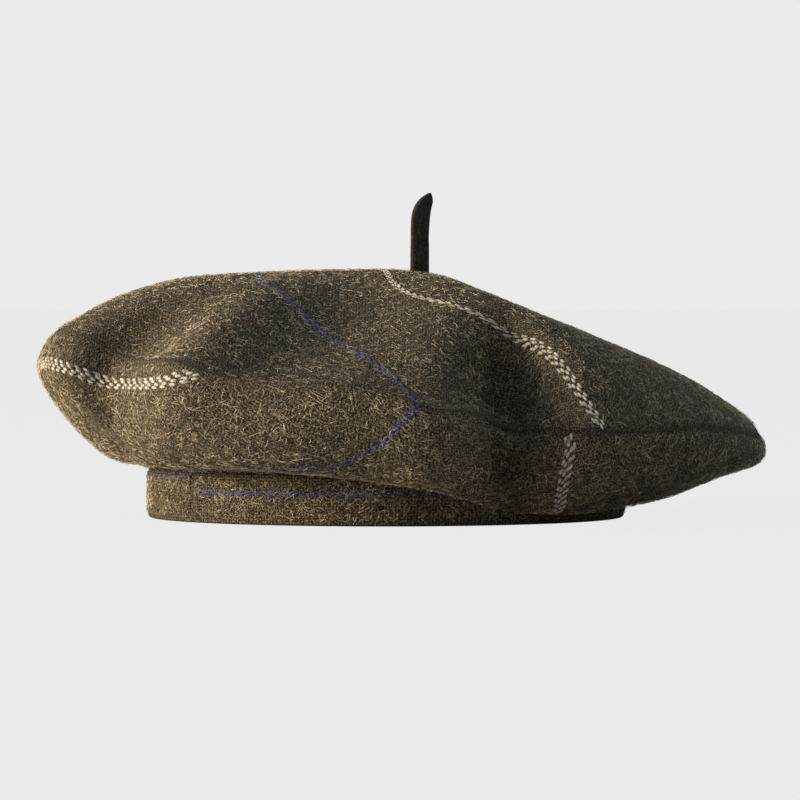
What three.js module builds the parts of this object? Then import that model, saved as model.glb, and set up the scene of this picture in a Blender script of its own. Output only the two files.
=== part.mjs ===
// A two-piece tweed tam o shanter in the beret cut: a round top sewn to a side ring,
// gathered into a headband, with a short cloth stem at the middle of the top.
// Millimetres, +Z up, front towards -Y. The hat stands on the lower rim of its headband.
import * as THREE from "three";

// Driving dimensions
const clothThickness = 1.8;
const seamGap = 0.25;
const pieceGap = 0.3;
const bandRadius = 92;
const bandThickness = 3;
const bandHeight = 19.3;
const bandChamfer = 0.7;
const crownHeight = 97;
const crownCentre = { x: 6, y: 0 };
const stemFoot = { x: 13, y: 2 };
const stemWidth = 7.8;
const stemThickness = 3;
const stemHeight = 31;
const stemTurn = 25 * Math.PI / 180;
const footSlope = 1.1;
const stemLift = 0.4;
const tipLean = 1.7;

// The outer seam, one value for each 30 degrees, counterclockwise from +X (the wearer's left)
const seamRadius = [139, 138, 140, 140, 138, 136, 134, 136, 137, 135, 130, 134];
const seamHeight = [32, 46, 47, 50, 60, 68, 71.5, 70.8, 56, 53.3, 36.8, 36.3];
// How late the top rolls over towards the seam, and how far the ring hangs over the headband
const edgePower = [11, 12, 9, 7, 6, 6, 6, 6, 7, 8, 8, 9];
const droop = [0.85, 0.75, 0.5, 0.3, 0.1, 0, 0, 0, 0.05, 0.35, 1.05, 1];
// Where the ring's belly is fuller, low over the headband
const fullness = [0, 0, 0, 0, 0, 0, 0, 0.2, 1, 1, 0.2, 0];

// Folds and ridges: where each is, the way it runs in plan, its reach along the seam,
// in and out, and in height, and how far it pushes the cloth
const folds = [
  { name: "deep front fold", at: [45, -114, 38], facing: -86, reach: [18, 38, 50], push: [-3, 34, -5] },
  { name: "front crease", at: [49, -112, 46], facing: -86, reach: [11, 36, 44], push: [0, 7, -2] },
  { name: "front corner", at: [14, -128, 42], facing: -84, reach: [16, 40, 44], push: [3, -5, -6.5] },
  { name: "left dent", at: [-103, -82, 60], facing: -139, reach: [21, 32, 34], push: [5, 23, -6] },
  { name: "front hollow", at: [-18, -68, 80], facing: -96, reach: [27, 42, 30], push: [2, 3, -6] },
  { name: "left ridge", at: [-65, -96, 70], facing: -115, reach: [15, 70, 32], push: [-4, -7, 4] },
];

// Mesh steps
const aroundSteps = 84;
const frontCrowding = 0.3;
const topRows = [0.16, 0.34, 0.5, 0.63, 0.74, 0.83, 0.91, 0.96, 1];
const sideRows = [0, 0.35, 0.75, 1.25, 1.75, 2.25, 2.75, 3.3, 4, 5, 6];

function clamp01(value) {
  return Math.min(Math.max(value, 0), 1);
}

function mix(a, b, t) {
  return a + (b - a) * t;
}

// A smooth curve through four values, between the second and the third
function throughFour(a, b, c, d, t) {
  const bend = 2 * a - 5 * b + 4 * c - d + t * (3 * (b - c) + d - a);
  return b + 0.5 * t * (c - a + t * bend);
}

// Smooth closed interpolation of values spaced evenly round the hat
function roundValue(values, angle) {
  const count = values.length;
  const turn = ((angle / (2 * Math.PI)) % 1 + 1) % 1;
  const place = turn * count;
  const first = Math.floor(place);
  const at = (step) => values[(first + step + count) % count];
  return throughFour(at(-1), at(0), at(1), at(2), place - first);
}

function softMin(a, b, blend) {
  const overlap = Math.max(blend - Math.abs(a - b), 0) / blend;
  return Math.min(a, b) - overlap * overlap * blend / 4;
}

// Height of the top, before it rolls over to the seam: a plateau that falls away on each side.
// A slope starts from the crown's height less its drop, at its start, and falls at its rate.
const topSlopes = {
  right: { start: 15, drop: 1.2, rate: 0.405, blend: 7 },
  front: { rate: 0.1, bend: 0.0021, blend: 6 },
  back: { start: 40, drop: 1, rate: 0.24, blend: 12 },
  left: { start: -92, drop: 1, rate: 0.34, blend: 8 },
};
const plateauBend = { start: 8, rate: 0.0004 };
const leftStep = { at: -42, width: 12, drop: 3 };

function topHeight(x, y) {
  const { right, front, back, left } = topSlopes;
  const forward = Math.max(-y, 0);
  const step = leftStep.drop / (1 + Math.exp((x - leftStep.at) / leftStep.width));
  const plateau = crownHeight - plateauBend.rate * Math.max(x - plateauBend.start, 0) ** 2 - step;
  const rightSlope = crownHeight - right.drop - right.rate * (x - right.start);
  const frontSlope = crownHeight - front.rate * forward - front.bend * forward * forward;
  const backSlope = crownHeight - back.drop - back.rate * (y - back.start);
  const leftSlope = crownHeight - left.drop + left.rate * (x - left.start);
  let height = softMin(plateau, rightSlope, right.blend);
  height = softMin(height, frontSlope, front.blend);
  height = softMin(height, backSlope, back.blend);
  return softMin(height, leftSlope, left.blend);
}

function pushedByFolds(point, share) {
  const moved = point.clone();
  for (const fold of folds) {
    const facing = fold.facing * Math.PI / 180;
    const dx = point.x - fold.at[0];
    const dy = point.y - fold.at[1];
    const outward = dx * Math.cos(facing) + dy * Math.sin(facing);
    const along = dy * Math.cos(facing) - dx * Math.sin(facing);
    const distance = (along / fold.reach[0]) ** 2 + (outward / fold.reach[1]) ** 2
      + ((point.z - fold.at[2]) / fold.reach[2]) ** 2;
    moved.addScaledVector(new THREE.Vector3(...fold.push), share * Math.exp(-distance));
  }
  return moved;
}

function seamPoint(angle) {
  const radius = roundValue(seamRadius, angle);
  return new THREE.Vector3(
    crownCentre.x + radius * Math.cos(angle),
    crownCentre.y + radius * Math.sin(angle),
    roundValue(seamHeight, angle),
  );
}

// A point of the top: reach runs from 0 at the stem to 1 at the seam
function topPoint(angle, reach) {
  const seam = seamPoint(angle);
  const x = mix(stemFoot.x, seam.x, reach);
  const y = mix(stemFoot.y, seam.y, reach);
  const roll = 1 - reach ** roundValue(edgePower, angle);
  return pushedByFolds(new THREE.Vector3(x, y, mix(seam.z, topHeight(x, y), roll)), 1);
}

// The side ring's section at an angle, as [share of the way out to the seam, height]:
// seam, brow, belly, lip, neck, crease over the headband's edge, hem on top of the headband
const creaseClearance = 0.5;
const hemInset = 1.8;

function sideSection(angle, seam, span) {
  const full = roundValue(fullness, angle);
  const crease = [creaseClearance / span, bandHeight + pieceGap];
  const hem = [-hemInset / span, bandHeight + pieceGap];
  const upright = [
    [1, seam.z],
    [1.17 - 0.07 * full, seam.z - 14 + 2 * full],
    [0.9 + 0.17 * full, mix(bandHeight, seam.z, 0.4 + 0.04 * full)],
    [0.44 + 0.3 * full, bandHeight + 5],
    [0.1, bandHeight + 1.6],
    crease,
    hem,
  ];
  const hanging = [
    [1, seam.z],
    [0.98, seam.z - 9],
    [0.72, 16],
    [0.24, 6],
    [0.05, 12],
    crease,
    hem,
  ];
  const share = roundValue(droop, angle);
  return upright.map((place, i) => [mix(place[0], hanging[i][0], share), mix(place[1], hanging[i][1], share)]);
}

// The folds reach down the ring in full to one step, and fade out at a later one
const foldFade = { full: 1.5, gone: 3.9 };
const neckStep = 4;

// A point of the side ring: step runs from 0 at the seam to 6 at the hem
function sidePoint(angle, step) {
  const seam = seamPoint(angle);
  const seamReach = Math.hypot(seam.x, seam.y);
  const span = seamReach - bandRadius;
  const section = sideSection(angle, seam, span);
  const last = section.length - 1;
  const i = Math.min(Math.floor(step), last - 1);
  const t = step - i;
  const pick = (k) => section[Math.min(Math.max(i + k, 0), last)];
  const straight = i >= neckStep;
  const blend = (axis) => (straight
    ? mix(pick(0)[axis], pick(1)[axis], t)
    : throughFour(pick(-1)[axis], pick(0)[axis], pick(1)[axis], pick(2)[axis], t));
  const radius = bandRadius + span * blend(0);
  const point = new THREE.Vector3(seam.x / seamReach * radius, seam.y / seamReach * radius, blend(1));
  return pushedByFolds(point, clamp01((foldFade.gone - step) / (foldFade.gone - foldFade.full)));
}

// Angles crowd a little towards the front, where the folds are
function stepAngle(i) {
  const turn = 2 * Math.PI * i / aroundSteps;
  return turn - frontCrowding * Math.cos(turn);
}

// Outer faces of the whole crown: the top's rows from the middle out, then the ring's rows.
// The top's last row and the ring's first row are the same seam.
function crownRows() {
  const angles = Array.from({ length: aroundSteps }, (_, i) => stepAngle(i));
  const rows = topRows.map((reach) => angles.map((angle) => topPoint(angle, reach)));
  for (const step of sideRows.slice(1)) {
    rows.push(angles.map((angle) => sidePoint(angle, step)));
  }
  return rows;
}

// Outward directions at the crown's points, averaged over the neighbouring rows and columns
function outwardDirections(rows, middle) {
  return rows.map((row, j) => row.map((point, i) => {
    const before = row[(i + aroundSteps - 1) % aroundSteps];
    const after = row[(i + 1) % aroundSteps];
    const inner = j > 0 ? rows[j - 1][i] : middle;
    const outer = j < rows.length - 1 ? rows[j + 1][i] : point;
    const around = new THREE.Vector3().subVectors(after, before);
    const inwardStep = new THREE.Vector3().subVectors(inner, point).normalize();
    const outwardStep = new THREE.Vector3().subVectors(outer, point).normalize();
    const down = outwardStep.sub(inwardStep);
    return down.cross(around).normalize();
  }));
}

// A closed shell between an outer and an inner grid of rows. A middle point closes the first row.
function shellGeometry(outerRows, innerRows, middle) {
  const positions = [];
  const add = (point) => positions.push(point.x, point.y, point.z) / 3 - 1;
  const outer = outerRows.map((row) => row.map(add));
  const inner = innerRows.map((row) => row.map(add));
  const count = outer[0].length;
  const last = outer.length - 1;
  const faces = [];
  const quad = (a, b, c, d) => faces.push(a, b, c, a, c, d);
  const outerMiddle = middle ? add(middle.outer) : -1;
  const innerMiddle = middle ? add(middle.inner) : -1;
  for (let i = 0; i < count; i += 1) {
    const n = (i + 1) % count;
    for (let j = 0; j < last; j += 1) {
      quad(outer[j][i], outer[j + 1][i], outer[j + 1][n], outer[j][n]);
      quad(inner[j][n], inner[j + 1][n], inner[j + 1][i], inner[j][i]);
    }
    quad(outer[last][i], inner[last][i], inner[last][n], outer[last][n]);
    if (middle) {
      faces.push(outerMiddle, outer[0][i], outer[0][n]);
      faces.push(innerMiddle, inner[0][n], inner[0][i]);
    } else {
      quad(outer[0][n], inner[0][n], inner[0][i], outer[0][i]);
    }
  }
  const geometry = new THREE.BufferGeometry();
  geometry.setAttribute("position", new THREE.Float32BufferAttribute(positions, 3));
  geometry.setIndex(faces);
  geometry.computeVertexNormals();
  return geometry;
}

// Draws a row back from the seam towards its neighbour, to leave the gap between the pieces
function drawnBack(row, towards) {
  return row.map((point, i) => {
    const step = new THREE.Vector3().subVectors(towards[i], point).setLength(seamGap);
    return step.add(point);
  });
}

function crownGeometries() {
  const rows = crownRows();
  const middle = topPoint(0, 0);
  const directions = outwardDirections(rows, middle);
  const innerRows = rows.map((row, j) => row.map(
    (point, i) => point.clone().addScaledVector(directions[j][i], -clothThickness),
  ));
  const seam = topRows.length - 1;
  const cutTop = (grid) => [...grid.slice(0, seam), drawnBack(grid[seam], grid[seam - 1])];
  const cutSide = (grid) => [drawnBack(grid[seam], grid[seam + 1]), ...grid.slice(seam + 1)];
  const innerMiddle = middle.clone().setZ(middle.z - clothThickness);
  return {
    top: shellGeometry(cutTop(rows), cutTop(innerRows), { outer: middle, inner: innerMiddle }),
    side: shellGeometry(cutSide(rows), cutSide(innerRows)),
  };
}

// The headband: a folded strip standing on a flat lower rim
function bandGeometry() {
  const inside = bandRadius - bandThickness;
  const section = [
    [inside + bandChamfer, 0],
    [bandRadius - bandChamfer, 0],
    [bandRadius, bandChamfer],
    [bandRadius, bandHeight - bandChamfer],
    [bandRadius - bandChamfer, bandHeight],
    [inside + bandChamfer, bandHeight],
    [inside, bandHeight - bandChamfer],
    [inside, bandChamfer],
  ];
  const positions = [];
  for (let i = 0; i < aroundSteps; i += 1) {
    const angle = stepAngle(i);
    for (const [radius, height] of section) {
      positions.push(radius * Math.cos(angle), radius * Math.sin(angle), height);
    }
  }
  const faces = [];
  const size = section.length;
  for (let i = 0; i < aroundSteps; i += 1) {
    const here = i * size;
    const next = ((i + 1) % aroundSteps) * size;
    for (let k = 0; k < size; k += 1) {
      const m = (k + 1) % size;
      faces.push(here + k, next + k, next + m, here + k, next + m, here + m);
    }
  }
  const geometry = new THREE.BufferGeometry();
  geometry.setAttribute("position", new THREE.Float32BufferAttribute(positions, 3));
  geometry.setIndex(faces);
  geometry.computeVertexNormals();
  return geometry;
}

// The stem: an upright tab of doubled cloth whose tip leans towards +X.
// Its foot is cut to the slope of the top, which it stands just clear of.
function stemGeometry() {
  const half = stemWidth / 2;
  const outline = new THREE.Shape();
  outline.moveTo(-half, footSlope / 2);
  outline.lineTo(half, -footSlope / 2);
  outline.lineTo(half, stemHeight * 0.5);
  outline.quadraticCurveTo(half + 0.2, stemHeight * 0.74, half + tipLean, stemHeight * 0.88);
  outline.quadraticCurveTo(half + tipLean, stemHeight, half + 0.2, stemHeight);
  outline.quadraticCurveTo(-half + 0.6, stemHeight * 0.9, -half + 0.2, stemHeight * 0.62);
  outline.closePath();
  const geometry = new THREE.ExtrudeGeometry(outline, {
    depth: stemThickness,
    bevelEnabled: false,
    curveSegments: 5,
  });
  geometry.translate(0, 0, -stemThickness / 2);
  geometry.rotateX(Math.PI / 2);
  geometry.rotateZ(stemTurn);
  return geometry;
}

function tweed(color) {
  return new THREE.MeshStandardMaterial({ color, roughness: 0.95, metalness: 0 });
}

function piece(name, geometry, material) {
  const mesh = new THREE.Mesh(geometry, material);
  mesh.name = name;
  return mesh;
}

const hat = new THREE.Group();
const crown = crownGeometries();
hat.add(piece("crown_top", crown.top, tweed(0x5a4a33)));
hat.add(piece("crown_side", crown.side, tweed(0x57472f)));
hat.add(piece("headband", bandGeometry(), tweed(0x5c4c34)));

const stem = piece("stem", stemGeometry(), tweed(0x241d14));
stem.position.set(stemFoot.x, stemFoot.y, topPoint(0, 0).z + stemLift);
hat.add(stem);

// The origin lies under the middle of the hat's outline, on the surface that it stands on
const outline = new THREE.Box3().setFromObject(hat);
hat.position.set(-(outline.min.x + outline.max.x) / 2, -(outline.min.y + outline.max.y) / 2, 0);

export default hat;
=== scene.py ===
import math

import bpy
import numpy as np
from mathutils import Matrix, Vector, noise


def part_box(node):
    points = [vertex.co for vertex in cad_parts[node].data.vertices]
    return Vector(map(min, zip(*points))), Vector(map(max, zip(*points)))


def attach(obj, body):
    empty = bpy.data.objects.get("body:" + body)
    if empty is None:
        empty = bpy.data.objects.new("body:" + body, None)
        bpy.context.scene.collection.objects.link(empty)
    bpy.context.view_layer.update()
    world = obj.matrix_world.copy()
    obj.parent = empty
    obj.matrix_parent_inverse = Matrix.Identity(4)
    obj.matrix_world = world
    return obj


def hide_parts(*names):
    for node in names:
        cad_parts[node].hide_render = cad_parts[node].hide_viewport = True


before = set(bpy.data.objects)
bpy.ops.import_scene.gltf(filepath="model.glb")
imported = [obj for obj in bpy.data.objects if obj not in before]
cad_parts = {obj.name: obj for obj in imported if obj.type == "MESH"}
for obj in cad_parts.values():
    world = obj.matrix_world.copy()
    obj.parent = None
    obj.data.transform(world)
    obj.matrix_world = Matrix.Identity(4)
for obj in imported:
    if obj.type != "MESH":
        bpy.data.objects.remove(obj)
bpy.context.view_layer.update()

mm = 0.001
bandLow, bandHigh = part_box("headband")
bandAxis = np.array([(bandLow.x + bandHigh.x) / 2, (bandLow.y + bandHigh.y) / 2, 0.0])
draws = np.random.default_rng(27)

# The crown's form in millimetres, measured from the headband's axis and its lower rim.
# Round values go counterclockwise from +X, one for each 30 degrees.
crown = {
    "thickness": 1.8,
    "bandRadius": 92,
    "bandTop": 19.3,
    "pieceGap": 0.3,
    "seamGap": 0.03,
    "height": 97,
    "centre": (6, 0),
    "stemFoot": (13, 2),
    "seamRadius": [139, 138, 140, 140, 138, 136, 134, 136, 137, 135, 130, 134],
    "seamHeight": [32, 46, 47, 50, 60, 68, 71.5, 70.8, 56.0, 53.3, 36.8, 36.3],
    "edgePower": [11, 12, 9, 7, 6, 6, 6, 6, 7, 8, 8, 9],  # how late the top rolls over to the seam
    "droop": [0.85, 0.75, 0.5, 0.3, 0.1, 0, 0, 0, 0.05, 0.35, 1.05, 1],  # how far the side hangs
    "seamPress": [1, 1, 1, 1, 1, 0.8, 0.35, 0.1, 0.1, 0.5, 1, 1],  # how clearly the seam is drawn in, in its groove and in the painted shade beside it
    "fullness": [0, 0, 0, 0, 0, 0, 0, 0.2, 1, 1, 0.2, 0],  # where the side's belly is fuller
    "folds": [
        {"name": "deep front fold", "at": (45, -114, 38), "facing": -86,
         "reach": (18, 38, 50), "push": (-3, 34, -5)},
        {"name": "front corner", "at": (14, -128, 42), "facing": -84,
         "reach": (16, 40, 44), "push": (3, -5, -6.5)},
        {"name": "left dent", "at": (-103, -82, 60), "facing": -139,
         "reach": (21, 32, 34), "push": (5, 23, -6)},
        {"name": "front hollow", "at": (-18, -68, 80), "facing": -96,
         "reach": (27, 42, 30), "push": (2, 3, -6)},
        {"name": "front crease", "at": (48, -112, 44), "facing": -86,
         "reach": (9, 36, 46), "push": (0, 14, -2)},
        {"name": "left ridge", "at": (-65, -96, 70), "facing": -115,
         "reach": (15, 70, 32), "push": (-4, -7, 4)},
    ],
    "slopes": {  # each starts at the crown's height less its drop, and falls at its rate
        "right": {"start": 15, "drop": 1.2, "rate": 0.405, "blend": 7},
        "front": {"rate": 0.1, "bend": 0.0021, "blend": 6},
        "back": {"start": 40, "drop": 1, "rate": 0.24, "blend": 12},
        "left": {"start": -92, "drop": 1, "rate": 0.34, "blend": 8},
    },
    "plateauBend": {"start": 8, "rate": 0.0004},
    "leftStep": {"at": -42, "width": 12, "drop": 3},
    "creaseClearance": 0.5,
    "hemInset": 1.8,
    "neckStep": 4,  # the side's section is straight from here to the hem
    "foldFade": {"full": 1.5, "gone": 3.9},  # steps down the side over which the folds die out
    "hemFade": 12,
    "columns": 640,
    "crowding": 0.3,  # how much the columns crowd towards the front
    "rowCrowding": 1.35,  # and the top's rows towards the seam
    "topRows": 100,
    "sideRows": 58,
    "innerEvery": 5,
}

# Flat patterns: the top is a disc about the stem, the side a ring inside the same edge
pattern = {
    "edge": 140.0,
    "farEdge": 149.0,  # the top's longest way from the stem
    "joinTop": 237.0,  # bearing of the side's join at the seam, then at the hem
    "joinHem": 217.5,
    "joinMiddle": 227.0,
    "joinHemRadius": 66.0,
    "nowhere": 99.0,  # distance from a seam that a piece doesn't have
}

relief = {
    "broad": (0.45, 24, 1),  # waves: height, size and seed
    "fine": (0.16, 7, 2),
    "pucker": (0.5, 9, 3),
    "seamRoll": (0.4, 5, 3),  # rolls and grooves: height, distance from the seam and width
    "seamGroove": (-0.55, 0, 1.3),
    "joinRoll": (0.15, 4, 2.6),
    "joinGroove": (-0.3, 0, 1.1),
}


def throughFour(a, b, c, d, t):
    bend = 2 * a - 5 * b + 4 * c - d + t * (3 * (b - c) + d - a)
    return b + 0.5 * t * (c - a + t * bend)


def roundValue(values, angle):
    values = np.asarray(values, float)
    place = (np.asarray(angle) / math.tau) % 1 * len(values)
    first = np.floor(place).astype(int)
    near = [values[(first + step) % len(values)] for step in (-1, 0, 1, 2)]
    return throughFour(*near, place - first)


def softMin(a, b, blend):
    overlap = np.maximum(blend - np.abs(a - b), 0) / blend
    return np.minimum(a, b) - overlap * overlap * blend / 4


def topHeight(x, y):  # a plateau that falls away on each side
    high = crown["height"]
    bend, step = crown["plateauBend"], crown["leftStep"]
    right, front, back, left = (crown["slopes"][side] for side in ("right", "front", "back", "left"))
    forward = np.maximum(-y, 0)
    fall = step["drop"] / (1 + np.exp((x - step["at"]) / step["width"]))
    plateau = high - bend["rate"] * np.maximum(x - bend["start"], 0) ** 2 - fall
    height = softMin(plateau, high - right["drop"] - right["rate"] * (x - right["start"]), right["blend"])
    height = softMin(height, high - front["rate"] * forward - front["bend"] * forward ** 2, front["blend"])
    height = softMin(height, high - back["drop"] - back["rate"] * (y - back["start"]), back["blend"])
    return softMin(height, high - left["drop"] + left["rate"] * (x - left["start"]), left["blend"])


def pushedByFolds(points, share=1.0):
    moved = points.copy()
    for fold in crown["folds"]:
        facing = math.radians(fold["facing"])
        away = points - np.array(fold["at"], float)
        outward = away[..., 0] * math.cos(facing) + away[..., 1] * math.sin(facing)
        along = away[..., 1] * math.cos(facing) - away[..., 0] * math.sin(facing)
        reach = fold["reach"]
        distance = (along / reach[0]) ** 2 + (outward / reach[1]) ** 2 + (away[..., 2] / reach[2]) ** 2
        moved += (share * np.exp(-distance))[..., None] * np.array(fold["push"], float)
    return moved


def seamLine(angle):
    radius = roundValue(crown["seamRadius"], angle)
    x = crown["centre"][0] + radius * np.cos(angle)
    y = crown["centre"][1] + radius * np.sin(angle)
    return np.stack([x, y, roundValue(crown["seamHeight"], angle)], -1)


def topRow(angle, reach):  # reach runs from 0 at the stem to 1 at the seam
    seam = seamLine(angle)
    x = crown["stemFoot"][0] * (1 - reach) + seam[:, 0] * reach
    y = crown["stemFoot"][1] * (1 - reach) + seam[:, 1] * reach
    roll = 1 - reach ** roundValue(crown["edgePower"], angle)
    z = seam[:, 2] + (topHeight(x, y) - seam[:, 2]) * roll
    return pushedByFolds(np.stack([x, y, z], -1))


def sideSection(angle, seam, span):  # seam, brow, belly, lip, neck, crease, hem
    level = crown["bandTop"]
    edge = seam[:, 2]
    flat = np.ones_like(edge)
    rest = (level + crown["pieceGap"]) * flat
    seat = [(crown["creaseClearance"] / span, rest), (-crown["hemInset"] / span, rest)]
    full = roundValue(crown["fullness"], angle)
    upright = [(flat, edge), (1.17 - 0.07 * full, edge - 14 + 2 * full),
               (0.9 + 0.17 * full, level + (edge - level) * (0.4 + 0.04 * full)),
               (0.44 + 0.3 * full, (level + 5) * flat), (0.1 * flat, (level + 1.6) * flat), *seat]
    hanging = [(flat, edge), (0.98 * flat, edge - 9), (0.72 * flat, 16 * flat),
               (0.24 * flat, 6 * flat), (0.05 * flat, 12 * flat), *seat]
    share = roundValue(crown["droop"], angle)
    return [[u + (h - u) * share for u, h in zip(*pair)] for pair in zip(upright, hanging)]


def sideRow(angle, step):  # step runs from 0 at the seam to 6 at the hem
    seam = seamLine(angle)
    seamReach = np.hypot(seam[:, 0], seam[:, 1])
    span = seamReach - crown["bandRadius"]
    section = sideSection(angle, seam, span)
    last = len(section) - 1
    first = min(int(step), last - 1)
    near = [section[min(max(first + k, 0), last)] for k in (-1, 0, 1, 2)]
    if first >= crown["neckStep"]:
        near[0] = [2 * a - b for a, b in zip(near[1], near[2])]
        near[3] = [2 * b - a for a, b in zip(near[1], near[2])]
    out, height = (throughFour(*[place[axis] for place in near], step - first) for axis in (0, 1))
    share = (crown["bandRadius"] + span * out) / seamReach
    points = np.stack([seam[:, 0] * share, seam[:, 1] * share, height], -1)
    fade = crown["foldFade"]
    return pushedByFolds(points, min(max((fade["gone"] - step) / (fade["gone"] - fade["full"]), 0), 1))


def columnAngles(count):
    turn = math.tau * np.arange(count) / count
    return turn - crown["crowding"] * np.cos(turn)


def unit(vectors):
    return vectors / np.maximum(np.linalg.norm(vectors, axis=-1, keepdims=True), 1e-9)


def outwardDirections(rows, middle):
    inner = np.concatenate([np.broadcast_to(middle, rows[:1].shape), rows[:-1]])
    outer = np.concatenate([rows[1:], rows[-1:]])
    around = np.roll(rows, -1, 1) - np.roll(rows, 1, 1)
    return unit(np.cross(unit(outer - rows) - unit(inner - rows), around))


def clothNoise(points, size, seed):  # soft random relief, from -1 to 1
    flat = points.reshape(-1, 3) / size
    shift = Vector((seed * 7.3, seed * 3.1, seed * 5.7))
    return np.array([noise.noise(Vector(p) + shift) for p in flat]).reshape(points.shape[:-1])


def hump(distance, width):
    return np.exp(-(distance / width) ** 2)


def waves(points, setting):
    height, size, seed = setting
    return height * clothNoise(points, size, seed)


def ridge(distance, setting):
    height, place, width = setting
    return height * hump(distance - place, width)


def joinLine():  # the side's join: a straight cut across the ring
    top, hem = math.radians(pattern["joinTop"]), math.radians(pattern["joinHem"])
    start = np.array([math.cos(top), math.sin(top)]) * pattern["edge"]
    end = np.array([math.cos(hem), math.sin(hem)]) * pattern["joinHemRadius"]
    normal = np.array([end[1] - start[1], start[0] - end[0]])
    normal /= np.linalg.norm(normal)
    return normal, float(normal @ start)


print("crown: working out the form")
angles = columnAngles(crown["columns"])
reaches = 1 - (1 - np.arange(1, crown["topRows"] + 1) / crown["topRows"]) ** crown["rowCrowding"]
steps = 6 * np.arange(1, crown["sideRows"] + 1) / crown["sideRows"]
middlePoint = topRow(angles[:1], 0.0)[0]
formRows = np.array([topRow(angles, r) for r in reaches] + [sideRow(angles, s) for s in steps])
formOut = outwardDirections(formRows, middlePoint)
rowSteps = np.linalg.norm(np.diff(formRows, axis=0), axis=-1)
seamRow = crown["topRows"] - 1
firstStep = np.linalg.norm(formRows[0] - middlePoint, axis=-1)
topDistance = np.vstack([firstStep, firstStep + np.cumsum(rowSteps[:seamRow], 0)])  # from the stem
sideDepth = np.vstack([np.zeros(len(angles)), np.cumsum(rowSteps[seamRow:], 0)])  # from the seam
sideDistance = pattern["edge"] - sideDepth
bearing = np.stack([np.cos(angles), np.sin(angles)], -1)
joinNormal, joinOffset = joinLine()


def reliefOf(rows, seamAway, joinAway):
    press = roundValue(crown["seamPress"], angles)
    height = waves(rows, relief["broad"]) + waves(rows, relief["fine"])
    pucker = 1 + waves(rows, relief["pucker"])
    height += press * (pucker * ridge(seamAway, relief["seamRoll"]) + ridge(seamAway, relief["seamGroove"]))
    return height + pucker * ridge(joinAway, relief["joinRoll"]) + ridge(joinAway, relief["joinGroove"])


topFlat = topDistance[..., None] * bearing
sideFlat = sideDistance[..., None] * bearing
farAway = np.full(topDistance.shape, pattern["nowhere"])
topRelief = reliefOf(formRows[:seamRow + 1], topDistance[-1] - topDistance, farAway)
towardsJoin = math.radians(pattern["joinMiddle"])
onJoinSide = sideFlat @ np.array([math.cos(towardsJoin), math.sin(towardsJoin)]) > 0
sideJoin = np.where(onJoinSide, np.abs(sideFlat @ joinNormal - joinOffset), pattern["nowhere"])
sideRelief = reliefOf(formRows[seamRow:], sideDepth, sideJoin)
sideRelief *= np.clip((sideDepth[-1] - sideDepth) / crown["hemFade"], 0, 1)  # none at the hem


def shellParts(first, last, height):
    outer = formRows[first:last + 1] + formOut[first:last + 1] * height[..., None]
    inner = formRows[first:last + 1] - formOut[first:last + 1] * crown["thickness"]
    return outer, inner


def drawnBack(rows, edge, towards):
    step = unit(rows[towards] - rows[edge])
    rows[edge] += step * crown["seamGap"]


topOuter, topInner = shellParts(0, seamRow, topRelief)
sideOuter, sideInner = shellParts(seamRow, len(formRows) - 1, sideRelief)
for rows in (topOuter, topInner):
    drawnBack(rows, -1, -4)
for rows in (sideOuter, sideInner):
    drawnBack(rows, 0, 3)


def meshObject(name, points, faces, material):
    mesh = bpy.data.meshes.new(name)
    mesh.from_pydata((np.asarray(points) * mm + bandAxis).tolist(), [], faces)
    mesh.polygons.foreach_set("use_smooth", [True] * len(mesh.polygons))
    mesh.materials.append(material)
    made = bpy.data.objects.new(name, mesh)
    bpy.context.scene.collection.objects.link(made)
    return made


def addMap(made, name, cornerValues):
    layer = made.data.uv_layers.new(name=name)
    layer.data.foreach_set("uv", np.asarray(cornerValues, np.float32).ravel())


def quadGrid(rows, columns):  # quads of (row, column) corners, wound outwards
    j, i = np.meshgrid(np.arange(rows - 1), np.arange(columns), indexing="ij")
    corners = np.stack([[j, i], [j + 1, i], [j + 1, i + 1], [j, i + 1]], -1)
    return corners.transpose(1, 2, 3, 0).reshape(-1, 4, 2)


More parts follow.
